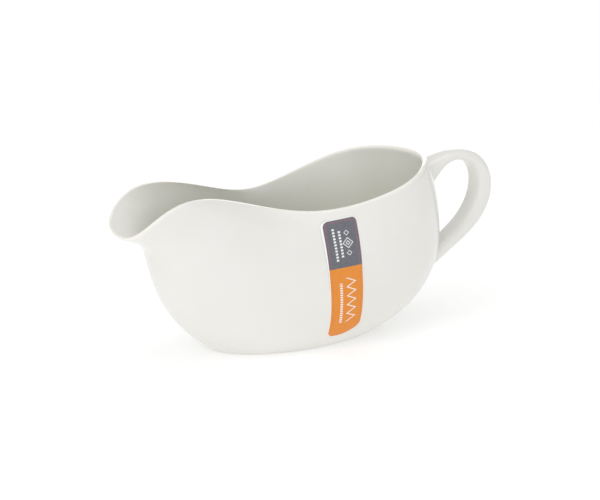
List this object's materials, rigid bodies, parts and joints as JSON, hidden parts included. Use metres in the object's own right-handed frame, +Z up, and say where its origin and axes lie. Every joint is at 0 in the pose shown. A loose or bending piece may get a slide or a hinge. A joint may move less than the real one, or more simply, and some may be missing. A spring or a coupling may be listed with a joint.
{
  "type": "gravy boat",
  "caption": "Porcelain gravy boat with a flared pouring spout, a loop handle, a shallow foot ring and a paper sticker on its side.",
  "frame": {"origin": "centre of the foot's flat base, at the bottom of the part", "axes": "+Z up, +X towards the handle, spout towards -X, sticker on the -Y side"},
  "size_m": [0.1917, 0.0712, 0.0801],
  "materials": {
    "porcelain_body": "glossy clear glaze over off-white porcelain",
    "porcelain_handle": "glossy clear glaze over off-white porcelain",
    "label_paper": "satin printed paper, grey above orange"
  },
  "bodies": {
    "root": {"boat_body": "porcelain_body", "handle": "porcelain_handle", "paper_label": "label_paper"}
  },
  "joints": []
}
